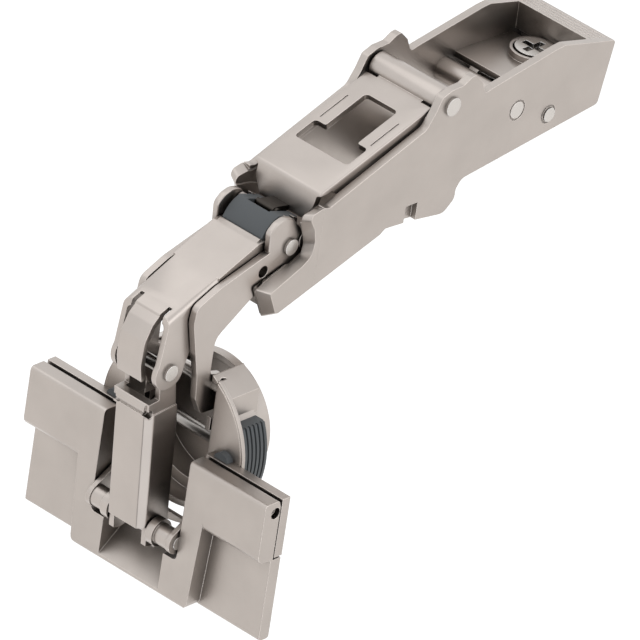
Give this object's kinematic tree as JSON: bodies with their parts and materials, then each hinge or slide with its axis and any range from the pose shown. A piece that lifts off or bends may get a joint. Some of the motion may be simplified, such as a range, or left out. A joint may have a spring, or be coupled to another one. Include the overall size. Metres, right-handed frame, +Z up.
{
  "type": "concealed cup hinge",
  "caption": "Concealed cabinet hinge with a round cup, a fold-out clamping lever, a folding link train and a clip-on arm, shown fully open.",
  "frame": {"origin": "centre of the cup's rim on the face of the door", "axes": "+X along the cup axis into the door, +Y along the hinge pins, +Z up the door towards the arm"},
  "size_m": [0.1118, 0.0596, 0.0895],
  "materials": {
    "plated_casting": "satin nickel plate on a casting, fine grain",
    "plated_sheet": "satin nickel plate on folded sheet",
    "steel_pin": "bright plated steel",
    "spring_steel": "oiled spring wire",
    "grey_plastic": "slate grey moulded plastic, matt"
  },
  "bodies": {
    "cup": {"cup_body": "plated_casting", "flange_plate": "plated_casting", "lever_axle_left": "steel_pin", "lever_axle_right": "steel_pin", "cup_front_pin": "steel_pin", "pin_bush_left": "plated_casting", "pin_bush_right": "plated_casting", "closing_spring": "spring_steel", "clamp_left": "grey_plastic", "clamp_right": "grey_plastic", "plug_left": "grey_plastic", "plug_right": "grey_plastic"},
    "clamp_lever": {"clamp_lever": "plated_casting"},
    "cup_link": {"cup_link": "plated_sheet"},
    "front_link": {"front_link": "plated_sheet", "front_link_pin": "steel_pin", "centre_roller": "grey_plastic", "centre_pin_left": "steel_pin", "centre_pin_right": "steel_pin"},
    "elbow": {"elbow_left": "plated_sheet", "elbow_right": "plated_sheet", "elbow_foot_pin": "steel_pin"},
    "arm": {"arm_body": "plated_casting", "top_link_pin": "steel_pin", "inner_pin_left": "steel_pin", "inner_pin_right": "steel_pin", "carriage_plate": "plated_sheet", "flush_pin": "steel_pin", "catch_pin": "steel_pin"},
    "top_link": {"top_link": "plated_sheet", "link_pin": "steel_pin"},
    "depth_screw": {"depth_screw": "steel_pin"},
    "side_screw": {"side_screw": "steel_pin"},
    "release_latch": {"release_latch": "plated_sheet"}
  },
  "joints": [
    {"name": "door_fold", "type": "hinge", "parent": "cup", "child": "cup_link", "pos_m": [-0.0065, 0, -0.016], "axis": [0, -1, 0], "range_deg": [0, 79.52]},
    {"name": "knee_fold", "type": "hinge", "parent": "cup_link", "child": "front_link", "pos_m": [-0.0098, 0, 0.0183], "axis": [0, -1, 0], "range_deg": [-51.26, 0]},
    {"name": "centre_fold", "type": "hinge", "parent": "front_link", "child": "elbow", "pos_m": [0.0164, 0, 0.037], "axis": [0, -1, 0], "range_deg": [0, 87.74]},
    {"name": "nose_fold", "type": "hinge", "parent": "elbow", "child": "arm", "pos_m": [0.0206, 0, 0.0374], "axis": [0, -1, 0], "range_deg": [0, 56]},
    {"name": "top_fold", "type": "hinge", "parent": "arm", "child": "top_link", "pos_m": [0.0525, 0, 0.0564], "axis": [0, -1, 0], "range_deg": [0, 8.45]},
    {"name": "lever_turn", "type": "hinge", "parent": "cup", "child": "clamp_lever", "pos_m": [-0.0036, 0, -0.0012], "axis": [0, 1, 0], "range_deg": [0, 20]},
    {"name": "depth_screw_turn", "type": "hinge", "parent": "arm", "child": "depth_screw", "pos_m": [0.0863, 0, 0.0523], "axis": [0, 0, 1], "continuous": true},
    {"name": "side_screw_turn", "type": "hinge", "parent": "arm", "child": "side_screw", "pos_m": [0.0764, 0, 0.047], "axis": [0, 0, 1], "continuous": true},
    {"name": "latch_press", "type": "hinge", "parent": "arm", "child": "release_latch", "pos_m": [0.0916, 0, 0.0466], "axis": [0, -1, 0], "range_deg": [0, 6], "stiffness_Nm_per_rad": 0.05}
  ],
  "couplings": [
    {"joint": "knee_fold", "follows": "door_fold", "ratio": -0.64465},
    {"joint": "centre_fold", "follows": "door_fold", "ratio": 1.1035},
    {"joint": "nose_fold", "follows": "door_fold", "ratio": 0.70425},
    {"joint": "top_fold", "follows": "door_fold", "ratio": 0.10629}
  ]
}
